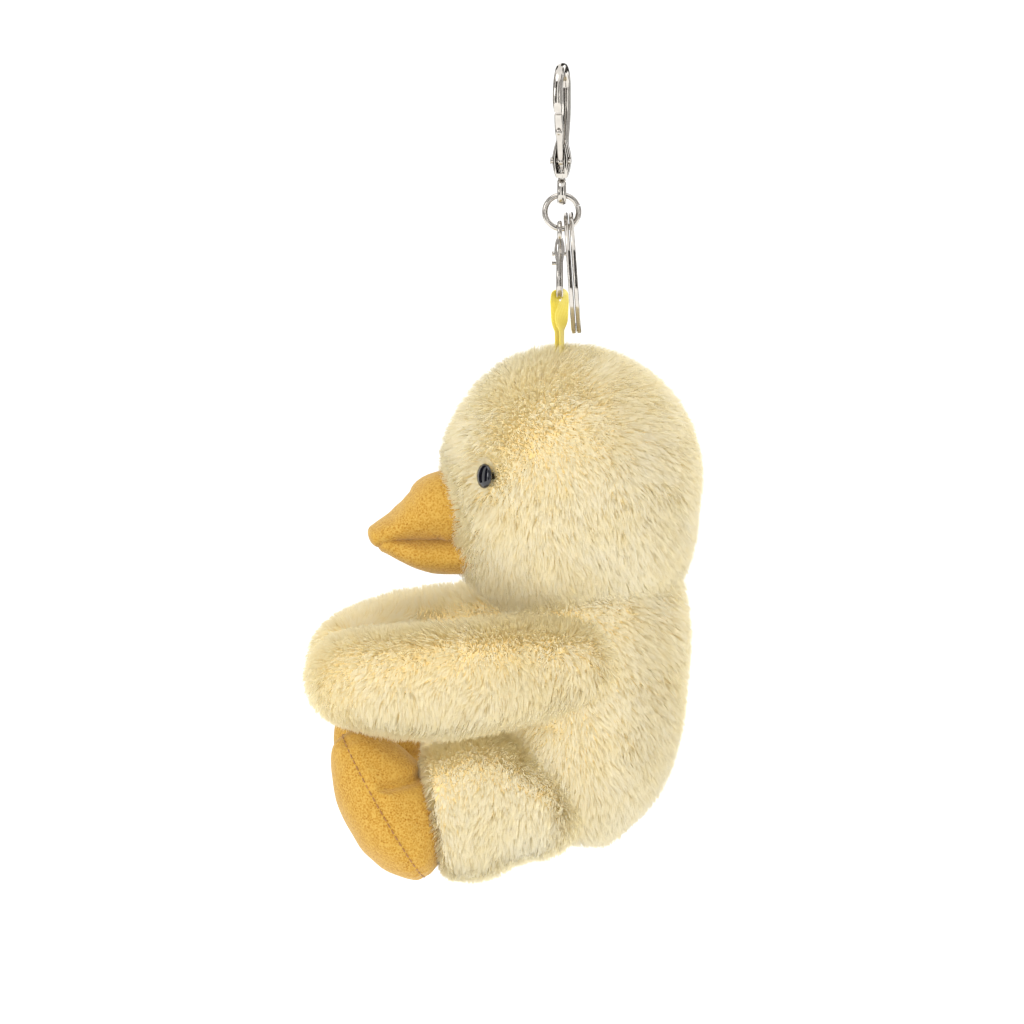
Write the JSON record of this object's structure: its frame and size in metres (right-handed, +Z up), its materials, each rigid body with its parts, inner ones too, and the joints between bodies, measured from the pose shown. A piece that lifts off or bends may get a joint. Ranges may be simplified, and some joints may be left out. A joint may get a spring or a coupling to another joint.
{
  "type": "plush duckling keychain",
  "caption": "Seated plush duckling with suede beak and feet, hung by a ribbon loop and small clasp from a jump ring with a flat split ring and a swivel trigger snap hook.",
  "frame": {"origin": "top of the space inside the snap hook, where a bag's ring bears", "axes": "+Z up along the hanging chain, the duckling faces -Y, its left side is at +X"},
  "size_m": [0.0834, 0.0984, 0.1984],
  "materials": {
    "nickel": "bright nickel plate",
    "plush": "long butter-yellow pile",
    "suede": "short golden nap",
    "filling": "white polyester fibre",
    "pellets": "cloth bag of small weighting beads",
    "eye": "polished black",
    "washer": "plain moulded",
    "ribbon": "woven ribbon"
  },
  "bodies": {
    "hook": {"hook_body": "nickel", "hook_rivet": "nickel", "hook_spring": "nickel"},
    "hook_gate": {"hook_gate": "nickel"},
    "swivel": {"swivel_eye": "nickel"},
    "jump_ring": {"jump_ring": "nickel"},
    "split_ring": {"split_ring": "nickel"},
    "clasp": {"clasp_body": "nickel", "clasp_rivet": "nickel", "clasp_spring": "nickel"},
    "clasp_gate": {"clasp_gate": "nickel"},
    "head": {"ribbon_loop": "ribbon", "head_skin": "plush", "head_filling": "filling", "beak_upper": "suede", "beak_lower": "suede", "beak_filling": "filling", "eye_left": "eye", "eye_right": "eye", "eye_washer_left": "washer", "eye_washer_right": "washer"},
    "torso": {"body_skin": "plush", "body_filling": "filling", "pellet_pouch": "pellets"},
    "arm_left": {"arm_skin_left": "plush", "arm_filling_left": "filling"},
    "arm_right": {"arm_skin_right": "plush", "arm_filling_right": "filling"},
    "leg_left": {"leg_skin_left": "plush", "leg_filling_left": "filling", "foot_cover_left": "suede", "foot_filling_left": "filling"},
    "leg_right": {"leg_skin_right": "plush", "leg_filling_right": "filling", "foot_cover_right": "suede", "foot_filling_right": "filling"}
  },
  "joints": [
    {"name": "hook_gate_hinge", "type": "hinge", "parent": "hook", "child": "hook_gate", "pos_m": [0.00118, -0.00021, -0.021], "axis": [0.1736, 0.9848, 0], "range_deg": [-24, 0], "stiffness_Nm_per_rad": 0.02, "springref_deg": 20.05},
    {"name": "swivel_turn", "type": "hinge", "parent": "hook", "child": "swivel", "pos_m": [0, 0, -0.0287], "axis": [0, 0, 1], "continuous": true},
    {"name": "jump_ring_swing", "type": "hinge", "parent": "swivel", "child": "jump_ring", "pos_m": [0, 0, -0.0311], "axis": [1, 0, 0], "range_deg": [-25, 25]},
    {"name": "split_ring_swing", "type": "hinge", "parent": "jump_ring", "child": "split_ring", "pos_m": [0, 0.0018, -0.0373], "axis": [0, 0.9976, 0.0698], "range_deg": [-25, 25]},
    {"name": "clasp_swing", "type": "hinge", "parent": "jump_ring", "child": "clasp", "pos_m": [0, -0.0005, -0.03769], "axis": [0, 1, 0], "range_deg": [-40, 40]},
    {"name": "clasp_gate_hinge", "type": "hinge", "parent": "clasp", "child": "clasp_gate", "pos_m": [-0.0006, -0.0005, -0.04391], "axis": [0, 1, 0], "range_deg": [-22, 0], "stiffness_Nm_per_rad": 0.005, "springref_deg": 20.05},
    {"name": "ribbon_swing", "type": "hinge", "parent": "clasp", "child": "head", "pos_m": [0, -0.0005, -0.05416], "axis": [1, 0, 0], "range_deg": [-30, 0]},
    {"name": "neck_turn", "type": "hinge", "parent": "head", "child": "torso", "pos_m": [0, 0.0022, -0.13096], "axis": [0, 0, 1], "range_deg": [-15, 15], "stiffness_Nm_per_rad": 0.02},
    {"name": "arm_left_swing", "type": "hinge", "parent": "torso", "child": "arm_left", "pos_m": [0.0225, 0.003, -0.14096], "axis": [0, 0, 1], "range_deg": [0, 20], "stiffness_Nm_per_rad": 0.02},
    {"name": "arm_right_swing", "type": "hinge", "parent": "torso", "child": "arm_right", "pos_m": [-0.0225, 0.003, -0.14096], "axis": [0, 0, -1], "range_deg": [0, 20], "stiffness_Nm_per_rad": 0.02},
    {"name": "leg_left_swing", "type": "hinge", "parent": "torso", "child": "leg_left", "pos_m": [0.0165, -0.007, -0.17696], "axis": [0, 0, 1], "range_deg": [0, 12], "stiffness_Nm_per_rad": 0.02},
    {"name": "leg_right_swing", "type": "hinge", "parent": "torso", "child": "leg_right", "pos_m": [-0.0165, -0.007, -0.17696], "axis": [0, 0, -1], "range_deg": [0, 12], "stiffness_Nm_per_rad": 0.02}
  ]
}
